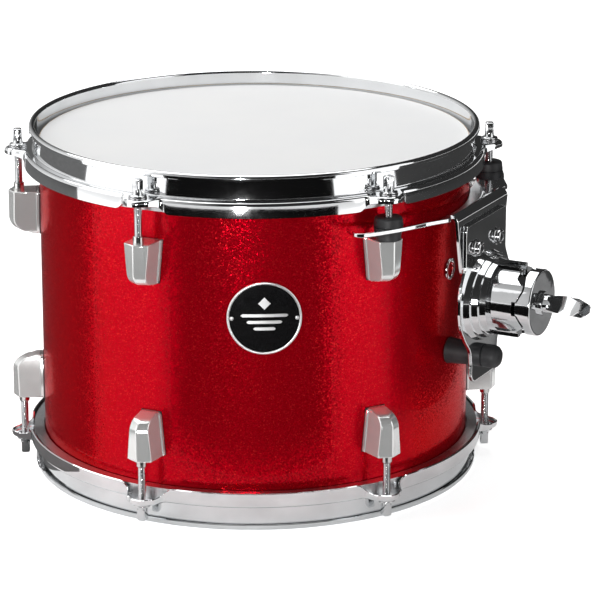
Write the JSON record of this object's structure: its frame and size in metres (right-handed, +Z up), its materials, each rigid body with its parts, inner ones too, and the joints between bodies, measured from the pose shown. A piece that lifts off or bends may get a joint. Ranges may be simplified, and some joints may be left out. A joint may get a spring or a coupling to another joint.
{
  "type": "rack tom drum",
  "caption": "Double-headed rack tom drum: wrapped ply shell, tensioned coated heads, chrome hoops, lugs and rods, and a suspended bracket with a clamp for a mounting arm.",
  "frame": {"origin": "centre of the lower rim plane, on the shell axis", "axes": "+Z up along the shell axis towards the batter head, -Y towards the badge, +X to the right of someone facing the badge; the mounting bracket is 60 degrees from -Y towards +X"},
  "size_m": [0.4016, 0.3279, 0.25],
  "materials": {
    "shell_ply": "clear-sealed cross-laminated maple ply, natural inside",
    "wrap": "deep red sparkle wrap under clear gloss",
    "head_film": "white coated polyester film, slightly rough",
    "flesh_hoop": "drawn aluminium channel, plain",
    "hoop_chrome": "polished chrome on pressed steel",
    "lug_chrome": "polished chrome on zinc die casting",
    "washer_steel": "plain bright washer",
    "rod_chrome": "chromed steel, rolled thread",
    "nut_metal": "nickel-plated brass",
    "spring_steel": "blued spring steel",
    "gasket_rubber": "thin black gasket",
    "screw_steel": "zinc-plated pan-head screw",
    "badge_enamel": "black enamel with a bright metal edge",
    "badge_metal": "bright nail",
    "vent_metal": "chromed grommet",
    "mount_chrome": "polished chrome on bent steel",
    "bolt_steel": "bright socket bolt",
    "black_rubber": "black moulded rubber",
    "clamp_chrome": "polished chrome on zinc die casting",
    "eye_bolt_steel": "bright threaded steel",
    "wing_chrome": "polished chrome on zinc die casting"
  },
  "bodies": {
    "drum": {"shell": "shell_ply", "shell_wrap": "wrap", "top_head_film": "head_film", "bottom_head_film": "head_film", "top_flesh_hoop": "flesh_hoop", "bottom_flesh_hoop": "flesh_hoop", "top_hoop": "hoop_chrome", "bottom_hoop": "hoop_chrome", "top_lug_1": "lug_chrome", "top_lug_2": "lug_chrome", "top_lug_3": "lug_chrome", "top_lug_4": "lug_chrome", "top_lug_5": "lug_chrome", "top_lug_6": "lug_chrome", "bottom_lug_1": "lug_chrome", "bottom_lug_2": "lug_chrome", "bottom_lug_3": "lug_chrome", "bottom_lug_4": "lug_chrome", "bottom_lug_5": "lug_chrome", "bottom_lug_6": "lug_chrome", "swivel_nuts": "nut_metal", "nut_springs": "spring_steel", "lug_gaskets": "gasket_rubber", "lug_screws": "screw_steel", "badge": "badge_enamel", "badge_nails": "badge_metal", "vent_grommet": "vent_metal", "suspension_arm": "mount_chrome", "mount_plate": "mount_chrome", "plate_bolts": "bolt_steel", "rubber_isolators": "black_rubber", "lower_bumper": "black_rubber", "clamp_base": "clamp_chrome", "eye_bolt": "eye_bolt_steel"},
    "top_washer_1": {"top_rod_washer_1": "washer_steel"},
    "top_rod_1": {"top_tension_rod_1": "rod_chrome"},
    "top_washer_2": {"top_rod_washer_2": "washer_steel"},
    "top_rod_2": {"top_tension_rod_2": "rod_chrome"},
    "top_washer_3": {"top_rod_washer_3": "washer_steel"},
    "top_rod_3": {"top_tension_rod_3": "rod_chrome"},
    "top_washer_4": {"top_rod_washer_4": "washer_steel"},
    "top_rod_4": {"top_tension_rod_4": "rod_chrome"},
    "top_washer_5": {"top_rod_washer_5": "washer_steel"},
    "top_rod_5": {"top_tension_rod_5": "rod_chrome"},
    "top_washer_6": {"top_rod_washer_6": "washer_steel"},
    "top_rod_6": {"top_tension_rod_6": "rod_chrome"},
    "bottom_washer_1": {"bottom_rod_washer_1": "washer_steel"},
    "bottom_rod_1": {"bottom_tension_rod_1": "rod_chrome"},
    "bottom_washer_2": {"bottom_rod_washer_2": "washer_steel"},
    "bottom_rod_2": {"bottom_tension_rod_2": "rod_chrome"},
    "bottom_washer_3": {"bottom_rod_washer_3": "washer_steel"},
    "bottom_rod_3": {"bottom_tension_rod_3": "rod_chrome"},
    "bottom_washer_4": {"bottom_rod_washer_4": "washer_steel"},
    "bottom_rod_4": {"bottom_tension_rod_4": "rod_chrome"},
    "bottom_washer_5": {"bottom_rod_washer_5": "washer_steel"},
    "bottom_rod_5": {"bottom_tension_rod_5": "rod_chrome"},
    "bottom_washer_6": {"bottom_rod_washer_6": "washer_steel"},
    "bottom_rod_6": {"bottom_tension_rod_6": "rod_chrome"},
    "clamp_cap": {"clamp_cap": "clamp_chrome"},
    "wing_nut": {"wing_nut": "wing_chrome"}
  },
  "joints": [
    {"name": "top_rod_1_travel", "type": "slide", "parent": "drum", "child": "top_washer_1", "axis": [0, 0, 1], "range_m": [0, 0.02328]},
    {"name": "top_rod_1_turn", "type": "hinge", "parent": "top_washer_1", "child": "top_rod_1", "pos_m": [-0.0835, -0.14463, 0.2325], "axis": [0, 0, 1], "range_deg": [0, 7920]},
    {"name": "top_rod_2_travel", "type": "slide", "parent": "drum", "child": "top_washer_2", "axis": [0, 0, 1], "range_m": [0, 0.02328]},
    {"name": "top_rod_2_turn", "type": "hinge", "parent": "top_washer_2", "child": "top_rod_2", "pos_m": [0.0835, -0.14463, 0.2325], "axis": [0, 0, 1], "range_deg": [0, 7920]},
    {"name": "top_rod_3_travel", "type": "slide", "parent": "drum", "child": "top_washer_3", "axis": [0, 0, 1], "range_m": [0, 0.02328]},
    {"name": "top_rod_3_turn", "type": "hinge", "parent": "top_washer_3", "child": "top_rod_3", "pos_m": [0.167, 0, 0.2325], "axis": [0, 0, 1], "range_deg": [0, 7920]},
    {"name": "top_rod_4_travel", "type": "slide", "parent": "drum", "child": "top_washer_4", "axis": [0, 0, 1], "range_m": [0, 0.02328]},
    {"name": "top_rod_4_turn", "type": "hinge", "parent": "top_washer_4", "child": "top_rod_4", "pos_m": [0.0835, 0.14463, 0.2325], "axis": [0, 0, 1], "range_deg": [0, 7920]},
    {"name": "top_rod_5_travel", "type": "slide", "parent": "drum", "child": "top_washer_5", "axis": [0, 0, 1], "range_m": [0, 0.02328]},
    {"name": "top_rod_5_turn", "type": "hinge", "parent": "top_washer_5", "child": "top_rod_5", "pos_m": [-0.0835, 0.14463, 0.2325], "axis": [0, 0, 1], "range_deg": [0, 7920]},
    {"name": "top_rod_6_travel", "type": "slide", "parent": "drum", "child": "top_washer_6", "axis": [0, 0, 1], "range_m": [0, 0.02328]},
    {"name": "top_rod_6_turn", "type": "hinge", "parent": "top_washer_6", "child": "top_rod_6", "pos_m": [-0.167, 0, 0.2325], "axis": [0, 0, 1], "range_deg": [0, 7920]},
    {"name": "bottom_rod_1_travel", "type": "slide", "parent": "drum", "child": "bottom_washer_1", "axis": [0, 0, -1], "range_m": [0, 0.02328]},
    {"name": "bottom_rod_1_turn", "type": "hinge", "parent": "bottom_washer_1", "child": "bottom_rod_1", "pos_m": [-0.0835, -0.14463, 0.0175], "axis": [0, 0, -1], "range_deg": [0, 7920]},
    {"name": "bottom_rod_2_travel", "type": "slide", "parent": "drum", "child": "bottom_washer_2", "axis": [0, 0, -1], "range_m": [0, 0.02328]},
    {"name": "bottom_rod_2_turn", "type": "hinge", "parent": "bottom_washer_2", "child": "bottom_rod_2", "pos_m": [0.0835, -0.14463, 0.0175], "axis": [0, 0, -1], "range_deg": [0, 7920]},
    {"name": "bottom_rod_3_travel", "type": "slide", "parent": "drum", "child": "bottom_washer_3", "axis": [0, 0, -1], "range_m": [0, 0.02328]},
    {"name": "bottom_rod_3_turn", "type": "hinge", "parent": "bottom_washer_3", "child": "bottom_rod_3", "pos_m": [0.167, 0, 0.0175], "axis": [0, 0, -1], "range_deg": [0, 7920]},
    {"name": "bottom_rod_4_travel", "type": "slide", "parent": "drum", "child": "bottom_washer_4", "axis": [0, 0, -1], "range_m": [0, 0.02328]},
    {"name": "bottom_rod_4_turn", "type": "hinge", "parent": "bottom_washer_4", "child": "bottom_rod_4", "pos_m": [0.0835, 0.14463, 0.0175], "axis": [0, 0, -1], "range_deg": [0, 7920]},
    {"name": "bottom_rod_5_travel", "type": "slide", "parent": "drum", "child": "bottom_washer_5", "axis": [0, 0, -1], "range_m": [0, 0.02328]},
    {"name": "bottom_rod_5_turn", "type": "hinge", "parent": "bottom_washer_5", "child": "bottom_rod_5", "pos_m": [-0.0835, 0.14463, 0.0175], "axis": [0, 0, -1], "range_deg": [0, 7920]},
    {"name": "bottom_rod_6_travel", "type": "slide", "parent": "drum", "child": "bottom_washer_6", "axis": [0, 0, -1], "range_m": [0, 0.02328]},
    {"name": "bottom_rod_6_turn", "type": "hinge", "parent": "bottom_washer_6", "child": "bottom_rod_6", "pos_m": [-0.167, 0, 0.0175], "axis": [0, 0, -1], "range_deg": [0, 7920]},
    {"name": "clamp_cap_travel", "type": "slide", "parent": "drum", "child": "clamp_cap", "axis": [0.866, -0.5, 0], "range_m": [0, 0.00625]},
    {"name": "wing_nut_turn", "type": "hinge", "parent": "clamp_cap", "child": "wing_nut", "pos_m": [0.19745, -0.114, 0.145], "axis": [0.866, -0.5, 0], "range_deg": [0, 1800]}
  ],
  "couplings": [
    {"joint": "top_rod_1_turn", "follows": "top_rod_1_travel", "rad_per_m": 5936.9},
    {"joint": "top_rod_2_turn", "follows": "top_rod_2_travel", "rad_per_m": 5936.9},
    {"joint": "top_rod_3_turn", "follows": "top_rod_3_travel", "rad_per_m": 5936.9},
    {"joint": "top_rod_4_turn", "follows": "top_rod_4_travel", "rad_per_m": 5936.9},
    {"joint": "top_rod_5_turn", "follows": "top_rod_5_travel", "rad_per_m": 5936.9},
    {"joint": "top_rod_6_turn", "follows": "top_rod_6_travel", "rad_per_m": 5936.9},
    {"joint": "bottom_rod_1_turn", "follows": "bottom_rod_1_travel", "rad_per_m": 5936.9},
    {"joint": "bottom_rod_2_turn", "follows": "bottom_rod_2_travel", "rad_per_m": 5936.9},
    {"joint": "bottom_rod_3_turn", "follows": "bottom_rod_3_travel", "rad_per_m": 5936.9},
    {"joint": "bottom_rod_4_turn", "follows": "bottom_rod_4_travel", "rad_per_m": 5936.9},
    {"joint": "bottom_rod_5_turn", "follows": "bottom_rod_5_travel", "rad_per_m": 5936.9},
    {"joint": "bottom_rod_6_turn", "follows": "bottom_rod_6_travel", "rad_per_m": 5936.9},
    {"joint": "wing_nut_turn", "follows": "clamp_cap_travel", "rad_per_m": 5026.5}
  ]
}
